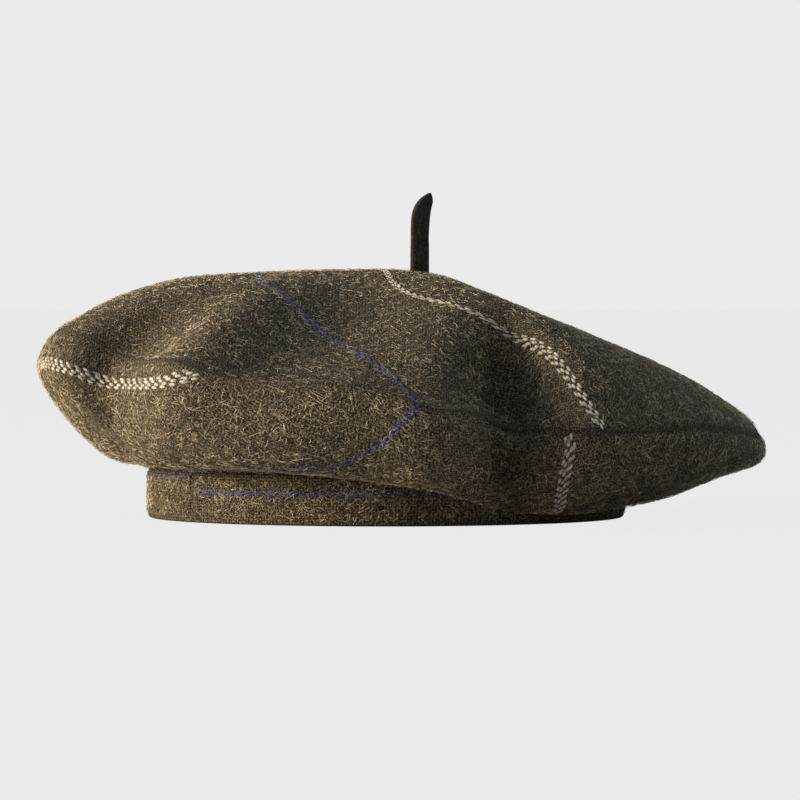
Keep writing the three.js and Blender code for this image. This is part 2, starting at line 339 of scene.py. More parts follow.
def shell(name, outer, inner, flat, away, middle, material):  # closed: fine outside, coarser inside
    every = crown["innerEvery"]
    keep = sorted(set(range(0, len(inner), every)) | {0, len(inner) - 1})
    inner = inner[keep]
    columns = outer.shape[1]
    points = [outer.reshape(-1, 3), inner.reshape(-1, 3)]
    start = outer.shape[0] * columns
    out = quadGrid(outer.shape[0], columns)
    inn = quadGrid(inner.shape[0], columns)
    wrap = lambda quads, base: base + quads[..., 0] * columns + quads[..., 1] % columns
    faces = wrap(out, 0).tolist() + wrap(inn, start)[:, ::-1].tolist()
    outFlat, innFlat = flat, flat[keep]
    pick = lambda grid, quads: grid[quads[..., 0], quads[..., 1] % columns]
    weave = [pick(outFlat, out).reshape(-1, 2), pick(innFlat, inn)[:, ::-1].reshape(-1, 2)]
    edge = [pick(away, out).reshape(-1, 2), pick(away[keep], inn)[:, ::-1].reshape(-1, 2)]
    turn = lambda quads: quads[..., 1] / columns
    down = lambda quads, count: quads[..., 0] / (count - 1)
    bake = [bakePlace(middle, turn(out), down(out, outer.shape[0]), pick(outFlat, out), False),
            bakePlace(middle, turn(inn), down(inn, inner.shape[0]), pick(innFlat, inn), True)[:, ::-1]]
    bake = [part.reshape(-1, 2) for part in bake]
    i = np.arange(columns)
    n = (i + 1) % columns
    rims = [(outer.shape[0] - 1, inner.shape[0] - 1, False)]
    if middle is None:
        rims.append((0, 0, True))
    for outRow, innRow, flipped in rims:
        quad = np.stack([outRow * columns + i, start + innRow * columns + i,
                         start + innRow * columns + n, outRow * columns + n], -1)
        edgeFlat = np.stack([outFlat[outRow, i], innFlat[innRow, i],
                             innFlat[innRow, n], outFlat[outRow, n]], 1)
        edgeAway = np.stack([away[outRow, i]] * 4, 1)
        corner = np.broadcast_to(bakeMap["rim"], (columns, 4, 2))
        order = slice(None, None, -1) if flipped else slice(None)
        faces += quad[:, order].tolist()
        weave.append(edgeFlat[:, order].reshape(-1, 2))
        edge.append(edgeAway.reshape(-1, 2))
        bake.append(corner.reshape(-1, 2))
    if middle is not None:
        top = start + inner.shape[0] * columns
        points.append(np.array([middle, middle - [0, 0, crown["thickness"]]]))
        zero = np.zeros((columns, 2))
        for hub, base, grid, order in ((top, 0, outFlat, [0, 1, 2]), (top + 1, start, innFlat, [0, 2, 1])):
            faces += np.stack([np.full(columns, hub), base + i, base + n], -1)[:, order].tolist()
            fan = np.stack([zero, grid[0, i], grid[0, n]], 1)[:, order]
            weave.append(fan.reshape(-1, 2))
            edge.append(np.broadcast_to(away[0, 0], (columns * 3, 2)))
            hubPlace = bakePlace(middle, None, None, fan, hub != top)
            bake.append(hubPlace.reshape(-1, 2))
    made = meshObject(name, np.concatenate(points), faces, material)
    addMap(made, "OFBake", np.concatenate(bake))
    addMap(made, "weave", np.concatenate(weave) / tweed["pitch"])
    addMap(made, "edge", np.concatenate(edge))
    made.data.set_sharp_from_angle(angle=math.radians(60))
    return made


# The bake map: the top is a disc with its inside small in a corner, the ring is strips one over another
bakeMap = {
    "discReach": pattern["edge"] * 1.12,
    "disc": (0.5, 0.495),  # centre and radius
    "discInside": (0.075, 0.07),
    "strips": 3,
    "start": 0.01,
    "width": 0.97,
    "outside": (0.01, 0.26),  # foot of the first strip and height of each
    "inside": (0.8, 0.06),
    "spacing": 1.04,
    "rim": [[0.99, 0.99], [0.99, 0.995], [0.995, 0.995], [0.995, 0.99]],
}


def bakePlace(middle, turn, down, flat, inside):
    if middle is not None:
        centre, radius = bakeMap["discInside" if inside else "disc"]
        return centre + flat / bakeMap["discReach"] * radius
    strip = np.minimum(np.floor(turn[..., :1] * bakeMap["strips"]), bakeMap["strips"] - 1)
    across = turn * bakeMap["strips"] - strip
    foot, tall = bakeMap["inside" if inside else "outside"]
    upward = foot + strip * tall * bakeMap["spacing"] + down * tall
    return np.stack([bakeMap["start"] + across * bakeMap["width"], upward], -1)


class Wire:  # one output of a node: sums and products of wires add Math nodes
    def __init__(self, tree, socket):
        self.tree = tree
        self.socket = socket

    def maths(self, operation, *values):
        return self.tree.node("Math", {"operation": operation}, dict(enumerate(values)))

    def __add__(self, other):
        return self.maths("ADD", self, other)

    def __radd__(self, other):
        return self.maths("ADD", other, self)

    def __sub__(self, other):
        return self.maths("SUBTRACT", self, other)

    def __rsub__(self, other):
        return self.maths("SUBTRACT", other, self)

    def __mul__(self, other):
        return self.maths("MULTIPLY", self, other)

    def __rmul__(self, other):
        return self.maths("MULTIPLY", other, self)

    def __truediv__(self, other):
        return self.maths("DIVIDE", self, other)

    def __pow__(self, other):
        return self.maths("POWER", self, other)

    def __mod__(self, other):
        return self.maths("FLOORED_MODULO", self, other)

    def __lt__(self, other):
        return self.maths("LESS_THAN", self, other)

    def __abs__(self):
        return self.maths("ABSOLUTE", self)

    def floor(self):
        return self.maths("FLOOR", self)

    def fract(self):
        return self.maths("FRACT", self)

    def max(self, other):
        return self.maths("MAXIMUM", self, other)

    def rise(self, low, high, bottom=0.0, top=1.0):  # a smooth step between low and high
        settings = {"interpolation_type": "SMOOTHSTEP"}
        values = {"Value": self, "From Min": low, "From Max": high, "To Min": bottom, "To Max": top}
        return self.tree.node("MapRange", settings, values, "Result")

    def mixed(self, low, high):  # a colour between two, by this value
        return self.tree.node("Mix", {"data_type": "RGBA"}, {0: self, 6: low, 7: high}, 2)


class Tree:  # a material's nodes
    def __init__(self, name):
        self.material = bpy.data.materials.new(name)
        self.material.use_nodes = True
        self.nodes = self.material.node_tree.nodes
        self.links = self.material.node_tree.links
        self.surface = next(n for n in self.nodes if n.type == "BSDF_PRINCIPLED")

    def feed(self, node, values):
        for key, value in values.items():
            socket = node.inputs[key]
            if isinstance(value, Wire):
                self.links.new(value.socket, socket)
            elif socket.type == "RGBA" and len(value) == 3:
                socket.default_value = (*value, 1.0)
            else:
                socket.default_value = value

    def node(self, kind, settings=None, values=None, output=0):
        made = self.nodes.new("ShaderNode" + kind)
        for key, value in (settings or {}).items():
            setattr(made, key, value)
        self.feed(made, values or {})
        if isinstance(output, (list, tuple)):
            return [Wire(self, made.outputs[each]) for each in output]
        return Wire(self, made.outputs[output])

    def vector(self, x, y, z):
        return self.node("CombineXYZ", {}, {"X": x, "Y": y, "Z": z})

    def mapParts(self, name):
        found = self.node("UVMap", {"uv_map": name})
        return self.node("SeparateXYZ", {}, {"Vector": found}, ("X", "Y"))

    def randomOf(self, x, y, z):
        values = {"Vector": self.vector(x, y, z)}
        return self.node("TexWhiteNoise", {"noise_dimensions": "3D"}, values, "Value")

    def cloud(self, vector, scale, detail=2.0, roughness=0.5):
        values = {"Vector": vector, "Scale": scale, "Detail": detail, "Roughness": roughness}
        return self.node("TexNoise", {"noise_dimensions": "3D"}, values, "Fac")


tweed = {
    "pitch": 1.16,  # one yarn to the next, in millimetres
    "dark": (0.010, 0.008, 0.005),
    "brown": (0.062, 0.044, 0.023),
    "olive": (0.060, 0.050, 0.022),
    "tan": (0.130, 0.094, 0.050),
    "straw": (0.60, 0.47, 0.29),
    "seamPaintedShade": (2.2, 0.7),  # reach of the painted shade beside a seam, and how dark it starts
    # painted shade beside the side's join: its reach, and how dark it starts
    "joinPaintedShade": (1.6, 0.88),
    "fibre": (0.9, 3.6),  # how fine the fibres are along and across
    "fibreTurns": [(20, 11), (75, 23), (135, 37)],  # directions in degrees, each with its seed
    "twill": 4,  # yarns in the weave's repeat
    "fineScale": 2.4,
    "broadScale": 0.035,
    "patchScale": 0.16,
    "hueScale": 0.55,
    "hueRise": (0.4, 0.6),
    "brownRise": (0.38, 0.52),  # where each colour comes in as the cloth gets lighter
    "oliveRise": (0.4, 0.6),
    "oliveShare": 0.6,
    "tanRise": (0.50, 0.68),
    "fleckRise": (0.57, 0.64),
    "fleckShare": 0.8,
    "paintedGapShadeRise": (0.0, 0.6, 0.15, 0.76),  # painted shade in the gaps between floats
    "bump": 0.8,
    "roughness": 0.93,
    "specular": 0.18,
    "sheen": 0.03,
    "sheenColour": (0.85, 0.76, 0.6),
}


def fibres(tree, u, v, turn, seed):  # short light fibres lying one way
    c, s = math.cos(math.radians(turn)), math.sin(math.radians(turn))
    along = u * c + v * s
    across = v * c - u * s
    long, wide = tweed["fibre"]
    return tree.cloud(tree.vector(along * long, across * wide, seed), 1.0, 1.0)


def tweedMaterial(name, seed):  # a two and two twill under loose wool
    tree = Tree(name)
    u, v = tree.mapParts("weave")
    seamAway, joinAway = tree.mapParts("edge")
    place = tree.vector(u, v, seed)
    twill = tweed["twill"]
    warp, weft = u.floor(), v.floor()
    warpTurn = (warp + v) % twill  # how far along its float each yarn is
    weftTurn = (u + weft) % twill
    warpUp = warpTurn < twill / 2
    warpBow = 1 - abs(warpTurn - 1) ** 4
    weftBow = 1 - abs(weftTurn - 3) ** 4
    warpRound = 1 - abs(u.fract() * 2 - 1) ** 2
    weftRound = 1 - abs(v.fract() * 2 - 1) ** 2
    warpHeight = warpBow.max(0) * warpRound
    weftHeight = weftBow.max(0) * weftRound
    height = warpUp * warpHeight + (1 - warpUp) * weftHeight
    warpShade = tree.randomOf(warp, ((warp + v) / twill).floor(), 1.0 + seed)
    weftShade = tree.randomOf(weft, ((u + weft) / twill).floor(), 5.0 + seed)
    floatShade = warpUp * warpShade + (1 - warpUp) * weftShade  # each float has its own shade
    fine = tree.cloud(place, tweed["fineScale"], 2.0, 0.7)
    first, second, third = (fibres(tree, u, v, turn, own + seed) for turn, own in tweed["fibreTurns"])
    flecks = first.max(second).max(third)
    broad = tree.cloud(place, tweed["broadScale"], 3.0)
    patch = tree.cloud(place, tweed["patchScale"], 2.0)
    # the cloth's tone from noise, each float's own tone and random patches, with painted shade from the
    # floats' relief (height) mixed in
    toneWithPaintedShade = fine * 0.55 + floatShade * 0.25 + height * 0.2 + (patch - 0.5) * 0.2
    ground = toneWithPaintedShade.rise(*tweed["brownRise"]).mixed(tweed["dark"], tweed["brown"])
    hue = tree.cloud(place, tweed["hueScale"], 1.0).rise(*tweed["hueRise"])
    olive = hue * toneWithPaintedShade.rise(*tweed["oliveRise"]) * tweed["oliveShare"]
    ground = olive.mixed(ground, tweed["olive"])
    ground = toneWithPaintedShade.rise(*tweed["tanRise"]).mixed(ground, tweed["tan"])
    bright = flecks.rise(*tweed["fleckRise"]) * (fine.rise(0.42, 0.54) * 0.85 + 0.15)
    colour = (bright * tweed["fleckShare"]).mixed(ground, tweed["straw"])
    # painted shade beside the seams and the join, darkest at the line itself
    (seamReach, seamDark), (joinReach, joinDark) = tweed["seamPaintedShade"], tweed["joinPaintedShade"]
    shadow = seamAway.rise(0.0, seamReach, seamDark, 1.0) * joinAway.rise(0.0, joinReach, joinDark, 1.0)
    # painted shade where the floats dip down between the yarns
    paintedGapShade = height.rise(*tweed["paintedGapShadeRise"])
    # colour scale: painted shade at the seams and between the floats, times a broad random tone
    paintedShadeAndTone = shadow * paintedGapShade * (broad * 0.5 + 0.75)
    colour = tree.node("VectorMath", {"operation": "SCALE"}, {"Vector": colour, "Scale": paintedShadeAndTone})
    nap = height * 0.45 + fine * 0.55 + flecks.rise(0.55, 0.72) * 0.55
    bump = {"Height": nap, "Strength": 1.0, "Distance": tweed["bump"] * mm}
    normal = tree.node("Bump", {}, bump, "Normal")
    tree.feed(tree.surface, {"Base Color": colour, "Normal": normal, "Roughness": tweed["roughness"],
                             "Sheen Weight": tweed["sheen"], "Sheen Roughness": 0.45,
                             "Sheen Tint": tweed["sheenColour"],
                             "Specular IOR Level": tweed["specular"]})
    return tree.material


print("cloth: crown top and side")
# where the seam is pressed in less, its painted shade is moved away from the line
unpressed = tweed["seamPaintedShade"][0] * (1 - roundValue(crown["seamPress"], angles))
topAway = np.stack([topDistance[-1] - topDistance + unpressed, farAway], -1)
sideAway = np.stack([sideDepth + unpressed, sideJoin], -1)
topTweed, sideTweed = tweedMaterial("topTweed", 0.0), tweedMaterial("sideTweed", 3.0)
crownTop = shell("crownTop", topOuter, topInner, topFlat, topAway, middlePoint, topTweed)
crownSide = shell("crownSide", sideOuter, sideInner, sideFlat, sideAway, None, sideTweed)

headband = {
    "radius": crown["bandRadius"],
    "thickness": 3,
    "height": crown["bandTop"],
    "rounding": 1.3,
    "cornerSteps": 4,
    "flatStep": 1.6,
    "broad": (0.32, 17, 6),  # waves: height, size and seed
    "fine": (0.12, 5, 7),
    "seamRoll": (0.3, 3.5, 2.2),
    "seamGroove": (-0.7, 0, 1.1),
    "fadeLow": 3,
    "fadeHigh": 2,
    "margin": 1.5,  # the rims that stay free of yarn and wool
    "bakeSpacing": 0.325,
    "bakeHeight": 0.31,
}


def bandSection():  # round the folded strip: up the outside, over, down the inside, and under
    count = headband["cornerSteps"]
    half = headband["thickness"] / 2
    tall = headband["height"]
    corner = headband["rounding"]
    middle = headband["radius"] - half
    places = []
    for centreX, centreZ, first in ((half - corner, corner, -90), (half - corner, tall - corner, 0),
                                    (corner - half, tall - corner, 90), (corner - half, corner, 180)):
        for k in range(count + 1):
            turn = math.radians(first + 90 * k / count)
            places.append((middle + centreX + corner * math.cos(turn), centreZ + corner * math.sin(turn)))
    filled = []
    for k, here in enumerate(places):
        there = places[(k + 1) % len(places)]
        pieces = max(1, round(math.dist(here, there) / headband["flatStep"]))
        filled += [tuple(a + (b - a) * m / pieces for a, b in zip(here, there)) for m in range(pieces)]
    return np.array(filled)


def bandPiece():
    section = bandSection()
    start = math.radians(pattern["joinHem"])
    turns = start + math.tau * np.arange(crown["columns"]) / crown["columns"]
    arc = headband["radius"] * (turns - start)
    seamArc = np.minimum(arc, arc[-1] - arc)
    radius, height = section[:, 0], section[:, 1]
    grid = np.stack([radius[:, None] * np.cos(turns), radius[:, None] * np.sin(turns),
                     height[:, None] * np.ones_like(turns)], -1)
    outward = np.stack([np.cos(turns), np.sin(turns), np.zeros_like(turns)], -1)
    fade = np.clip((height - headband["rounding"]) / headband["fadeLow"], 0, 1)
    fade *= np.clip((headband["height"] - height) / headband["fadeHigh"], 0, 1)
    fade *= np.where(radius > headband["radius"] - headband["thickness"] / 2, 1.0, 0.0)  # only outside
    uneven = waves(grid, headband["broad"]) + waves(grid, headband["fine"])
    uneven += ridge(seamArc, headband["seamRoll"]) + ridge(seamArc, headband["seamGroove"])
    grid = grid + outward * (uneven * fade[:, None])[..., None]
    count, columns = grid.shape[:2]
    quads = quadGrid(count + 1, columns)
    index = (quads[..., 0] % count) * columns + quads[..., 1] % columns
    made = meshObject("headbandCloth", grid.reshape(-1, 3), index[:, ::-1].tolist(),
                      tweedMaterial("bandTweed", 7.0))
    sides = np.linalg.norm(np.diff(section, axis=0, append=section[:1]), axis=-1)
    lengths = np.concatenate([[0], np.cumsum(sides)])
    across = lengths[quads[..., 0]]
    along = quads[..., 1] / columns * math.tau * headband["radius"]
    strips, start = bakeMap["strips"], bakeMap["start"]
    strip = np.minimum(np.floor(quads[..., :1, 1] / columns * strips), strips - 1)
    u = start + (quads[..., 1] / columns * strips - strip) * bakeMap["width"]
    v = start + strip * headband["bakeSpacing"] + across / lengths[-1] * headband["bakeHeight"]
    gap = np.minimum(along, math.tau * headband["radius"] - along)
    addMap(made, "OFBake", np.stack([u, v], -1)[:, ::-1].reshape(-1, 2))
    addMap(made, "weave", np.stack([across, along], -1)[:, ::-1].reshape(-1, 2) / tweed["pitch"])
    away = np.stack([np.full_like(gap, pattern["nowhere"]), gap], -1)
    addMap(made, "edge", away[:, ::-1].reshape(-1, 2))
    return made


print("cloth: headband")
headbandCloth = bandPiece()


class Surface:  # finds places on the cloth from its flat pattern, with a lift off it
    def __init__(self, points, outward, distance):
        self.points = points
        self.outward = outward
        self.distance = distance
        self.rising = distance[-1].mean() > distance[0].mean()

    def column(self, turn):  # undoes the crowding of the columns
        angle = turn % math.tau
        guess = angle.copy()
        for _ in range(12):
            guess = angle + crown["crowding"] * np.cos(guess)
        return guess / math.tau * len(angles)

    def place(self, x, y, lift):
        reach = np.hypot(x, y)
        column = self.column(np.arctan2(y, x))
        left = np.floor(column).astype(int) % len(angles)
        share = (column - np.floor(column))[:, None]
        ends = []
        for side in (left, (left + 1) % len(angles)):
            distance = self.distance[:, side].T
            key = distance if self.rising else -distance
            value = reach if self.rising else -reach
            row = np.clip((key < value[:, None]).sum(1) - 1, 0, distance.shape[1] - 2)
            low = key[np.arange(len(row)), row]
            high = key[np.arange(len(row)), row + 1]
            t = np.clip((value - low) / (high - low), 0, 1)[:, None]
            point = self.points[row, side] * (1 - t) + self.points[row + 1, side] * t
            out = self.outward[row, side] * (1 - t) + self.outward[row + 1, side] * t
            ends.append((point, out))
        point = ends[0][0] * (1 - share) + ends[1][0] * share
        out = unit(ends[0][1] * (1 - share) + ends[1][1] * share)
        return point + out * lift[:, None]

    def covers(self, x, y, margin=0.6):
        reach = np.hypot(x, y)
        column = np.round(self.column(np.arctan2(y, x))).astype(int) % len(angles)
        ends = np.sort([self.distance[0, column], self.distance[-1, column]], axis=0)
        return (reach > ends[0] + margin * (not self.rising)) & (reach < ends[1] - margin)


topSurface = Surface(topOuter, formOut[:seamRow + 1], topDistance)
sideSurface = Surface(sideOuter, formOut[seamRow:], sideDistance)


class Band:  # the headband's outside: along the strip from its closing seam, and up from the rim
    def place(self, x, y, lift):
        turn = math.radians(pattern["joinHem"]) + x / headband["radius"]
        radius = headband["radius"] + lift
        return np.stack([radius * np.cos(turn), radius * np.sin(turn), y], -1)

    def covers(self, x, y, margin=0.6):
        whole = math.tau * headband["radius"]
        rim = headband["margin"]
        return (x > margin) & (x < whole - margin) & (y > rim) & (y < headband["height"] - rim)


bandSurface = Band()

stripes = {
    "repeat": 4.65,  # about four yarns
    "floatLength": 2.7,
    "whiteWidth": 1.16,
    "whiteStarts": [0, 1, 3, 2],
    "blueWidth": 0.64,
    "blueStarts": [0, 2, 1],
    "whiteTopNarrowing": ([0, 0.44, 0.72, 0.8, 1], [1, 0.55, 0.5, 1, 1]),  # share of its width
    "rise": 0.32,
    "sink": 0.25,
    "lift": 0.05,
    "twist": 0.35,  # how far a float's end leans across the stripe
    "wander": 0.05,
    "lengthSpread": (0.92, 1.1),
    "widthSpread": (0.95, 1.12),
}


def polar(*places):  # bearings in degrees, with distances from the stem
    return [(r * math.cos(math.radians(a)), r * math.sin(math.radians(a))) for a, r in places]


def below(*places):  # the same, with distances in from the seam
    return polar(*[(a, pattern["edge"] - depth) for a, depth in places])


def route(points, step=0.5):  # a smooth line through the points, evenly spaced
    points = np.array(points, float)
    padded = np.vstack([2 * points[0] - points[1], points, 2 * points[-1] - points[-2]])
    t = np.linspace(0, 1, 60, endpoint=False)[:, None]
    curve = np.vstack([throughFour(*padded[k:k + 4], t) for k in range(len(points) - 1)] + [points[-1:]])
    length = np.concatenate([[0], np.cumsum(np.linalg.norm(np.diff(curve, axis=0), axis=1))])
    even = np.arange(0, length[-1], step)
    return even, np.stack([np.interp(even, length, curve[:, k]) for k in (0, 1)], -1)


def grainShape(rings=7, sides=8):  # one float of yarn, lying along +X, one unit long, wide and high
    points, faces = [(-0.5, 0.0, 0.0)], []
    for k in range(1, rings):
        x = -math.cos(math.pi * k / rings)
        girth = (1 - abs(x) ** 2.6) ** 0.5
        for m in range(sides):
            turn = math.tau * m / sides
            points.append((x / 2, girth * math.cos(turn) / 2, girth * math.sin(turn)))
    points.append((0.5, 0.0, 0.0))
    last = len(points) - 1
    for m in range(sides):
        n = (m + 1) % sides
        faces.append((0, 1 + n, 1 + m))
        for k in range(rings - 2):
            a = 1 + k * sides
            faces.append((a + m, a + n, a + sides + n, a + sides + m))
        a = 1 + (rings - 2) * sides
        faces.append((a + m, a + n, last))
    return np.array(points), faces


def stripeGrains(surface, lines, fullWidth, starts, narrowing):
    shape, shapeFaces = grainShape()
    points, faces = [], []
    for line in lines:
        even, path = route(line)
        tangent = unit(np.gradient(path, axis=0))
        count = int(even[-1] / stripes["repeat"])
        for k in range(count):
            for yarn, quarter in enumerate(starts):
                along = (k + quarter / 4) * stripes["repeat"] + stripes["floatLength"] / 2
                width = fullWidth * float(np.interp(along / even[-1], *narrowing))
                offset = (yarn - (len(starts) - 1) / 2) * width + draws.normal(0, stripes["wander"])
                stretch = stripes["floatLength"] * draws.uniform(*stripes["lengthSpread"])
                girth = width * draws.uniform(*stripes["widthSpread"])
                x = along + shape[:, 0] * stretch
                base = np.stack([np.interp(x, even, path[:, a]) for a in (0, 1)], -1)
                way = unit(np.stack([np.interp(x, even, tangent[:, a]) for a in (0, 1)], -1))
                across = offset + shape[:, 1] * girth + shape[:, 0] * stripes["twist"]
                flat = base + np.stack([-way[:, 1], way[:, 0]], -1) * across[:, None]
                if not surface.covers(flat[:, 0], flat[:, 1]).all():
                    continue
                lift = shape[:, 2] * np.where(shape[:, 2] > 0, stripes["rise"], stripes["sink"])
                faces += [tuple(len(points) * len(shape) + c for c in face) for face in shapeFaces]
                points.append(surface.place(flat[:, 0], flat[:, 1], lift + stripes["lift"]))
    return np.concatenate(points), faces


def yarnMaterial(name, low, high, fleck):
    tree = Tree(name)
    where = tree.node("TexCoord", {}, {}, "Object")
    fluff = tree.cloud(where, 900.0, 3.0, 0.6)
    broad = tree.cloud(where, 90.0, 2.0)
    colour = (fluff * 0.65 + broad * 0.35).rise(0.38, 0.6).mixed(low, high)
    colour = tree.cloud(where, 420.0, 2.0).rise(0.58, 0.7, 0.0, 0.7).mixed(colour, fleck)
    strands = tree.cloud(where, 2200.0, 2.0)
    normal = tree.node("Bump", {}, {"Height": strands, "Strength": 0.7, "Distance": 0.2 * mm}, "Normal")
    tree.feed(tree.surface, {"Base Color": colour, "Normal": normal, "Roughness": 0.88,
                             "Sheen Weight": 0.2, "Specular IOR Level": 0.2})
    return tree.material


whiteYarn = yarnMaterial("whiteYarn", (0.28, 0.24, 0.18), (0.56, 0.51, 0.42), (0.15, 0.12, 0.08))
blueYarn = yarnMaterial("blueYarn", (0.010, 0.014, 0.06), (0.045, 0.065, 0.27), (0.05, 0.04, 0.03))

whiteTop = [[(-84, 112), (-40, 52), (-17, 8), (-9, -33), (0, -51), (15, -63), (34, -74), (51, -86),
             (68, -105), (82, -119), (91, -128)]]
blueTop = [[(-95, 110), (-73, 55), (-63, 0), (-61, -38), (-52, -52), (-44, -64), (-29, -90), (-17, -106),
            (-6, -122), (3, -139), (6, -143)]]
whiteSide = [
    below((172, 14), (193, 14), (204.5, 13.8), (211.5, 12.6), (216.5, 11), (221, 9.6), (228, 9),
          (232.5, 7.9), (236, 4.5), (238.5, 1)),
    below((298.6, 0), (299.5, 17.5), (302, 32), (305.5, 45), (313, 75)),
    below((92, 0), (90.5, 38), (87, 75)),
]
blueSide = [[(8, -142), (0, -133), (-7, -119), (-18, -104), (-28, -98), (-42, -85), (-53, -66),
             (-60, -45), (-62, -22)]]
blueBand = [[(0, 11.3), (190, 13.2), (390, 15.4), (math.tau * headband["radius"], 17.3)]]

print("stripes: floats of white and blue yarn")
stripeSet = [
    ("whiteStripeTop", topSurface, whiteTop, "white", whiteYarn, "tweed_top"),
    ("whiteStripeSide", sideSurface, whiteSide, "white", whiteYarn, "tweed_side"),
    ("blueStripeTop", topSurface, blueTop, "blue", blueYarn, "tweed_top"),
    ("blueStripeSide", sideSurface, blueSide, "blue", blueYarn, "tweed_side"),
    ("blueStripeBand", bandSurface, blueBand, "blue", blueYarn, "tweed_band"),
]
trims = []
for name, surface, lines, shade, material, slotName in stripeSet:
    narrowing = stripes["whiteTopNarrowing"] if name == "whiteStripeTop" else ([0, 1], [1, 1])
    width, starts = stripes[shade + "Width"], stripes[shade + "Starts"]
    points, faces = stripeGrains(surface, lines, width, starts, narrowing)
    trims.append((meshObject(name, points, faces, material), slotName))

fuzz = {
    "steps": 3,
    "width": (0.10, 0.20),
    "length": (1.1, 3.4),
    "lift": (0.1, 0.7),
    "foot": 0.08,
    "bend": 0.9,
    "arch": 2.2,
    "longShare": 0.05,
    "longTimes": 2.2,
    "margin": 1.2,
    "top": 34000,
    "side": 34000,
    "band": 10500,
}


def randomOnTop(count):
    turn = draws.uniform(0, math.tau, count)
    reach = pattern["farEdge"] * np.sqrt(draws.uniform(0, 1, count))
    return reach * np.cos(turn), reach * np.sin(turn)


def randomOnSide(count):
    turn = draws.uniform(0, math.tau, count)
    reach = np.sqrt(draws.uniform(pattern["joinHemRadius"] ** 2, pattern["edge"] ** 2, count))
    return reach * np.cos(turn), reach * np.sin(turn)


def randomOnBand(count):
    x = draws.uniform(0, math.tau * headband["radius"], count)
    return x, draws.uniform(1, headband["height"] - 1, count)


def hairs(surface, starts, count):  # thin curved blades, each rolled its own way and drawn to a tip
    x, y = starts(count)
    steps = fuzz["steps"]
    share = np.arange(steps + 1) / steps
    heading = draws.uniform(0, math.tau, count)[:, None]
    heading = heading + draws.normal(0, fuzz["bend"], count)[:, None] * share
    longer = np.where(draws.uniform(0, 1, count) < fuzz["longShare"], fuzz["longTimes"], 1.0)
    stride = (draws.uniform(*fuzz["length"], count) * longer / steps)[:, None]
    lift = draws.uniform(*fuzz["lift"], count)[:, None] * np.sin(share * fuzz["arch"])
    roll = draws.uniform(0, math.pi, count)[:, None]
    width = draws.uniform(*fuzz["width"], count)[:, None] * (1 - share ** 3)
    spineX = x[:, None] + np.cumsum(np.cos(heading) * stride, 1)
    spineY = y[:, None] + np.cumsum(np.sin(heading) * stride, 1)
    inside = surface.covers(spineX.ravel(), spineY.ravel(), fuzz["margin"]).reshape(count, -1).all(1)
    edges = []
    for side in (-0.5, 0.5):
        across = side * width * np.cos(roll)
        edgeX = (spineX - np.sin(heading) * across)[inside]
        edgeY = (spineY + np.cos(heading) * across)[inside]
        raised = np.abs(width * np.sin(roll)) * (side > 0)
        edgeLift = (fuzz["foot"] + lift + raised)[inside]
        edges.append(surface.place(edgeX.ravel(), edgeY.ravel(), edgeLift.ravel()).reshape(-1, steps + 1, 3))
    count = len(edges[0])
    tips = edges[0][:, -1:]
    points = np.concatenate([edges[0][:, :-1], edges[1][:, :-1], tips], 1)
    base = np.arange(count)[:, None] * (2 * steps + 1)
    faces = []
    for k in range(steps - 1):
        faces += (base + np.array([k, k + 1, steps + k + 1, steps + k])).tolist()
    faces += (base + np.array([steps - 1, 2 * steps, 2 * steps - 1])).tolist()
    return points.reshape(-1, 3), faces


print("wool: loose hairs")
hairWool = yarnMaterial("looseWool", (0.15, 0.105, 0.05), (0.62, 0.49, 0.29), (0.06, 0.04, 0.035))
for name, surface, starts, count, slotName in (
    ("fuzzTop", topSurface, randomOnTop, fuzz["top"], "tweed_top"),
    ("fuzzSide", sideSurface, randomOnSide, fuzz["side"], "tweed_side"),
    ("fuzzBand", bandSurface, randomOnBand, fuzz["band"], "tweed_band"),
):
    points, faces = hairs(surface, starts, count)
    trims.append((meshObject(name, points, faces, hairWool), slotName))

stem = {
    "halfWidth": 3.9,
    "thickness": 3.0,
    "height": 31,
    "turn": 25,
    "footSlope": 1.1,
    "lift": 0.15,
    "lean": 0.2,  # how far the tip leans
    "notch": 1.7,  # how far the tab's right edge bulges below the tip
    "sectionPower": (0.72, 0.8),  # how square the section is across and through
    "crease": (0.25, 0.35),  # depth, and width as a share of the tab's
    "waves": (0.22, 6, 9),
    "rowCrowding": 1.6,
    "rows": 64,
    "around": 40,
}


def curveOf(a, b, c, count):  # a quadratic curve from a to c, pulled towards b
    t = np.linspace(0, 1, count)[:, None]
    return (1 - t) ** 2 * np.array(a) + 2 * t * (1 - t) * np.array(b) + t ** 2 * np.array(c)


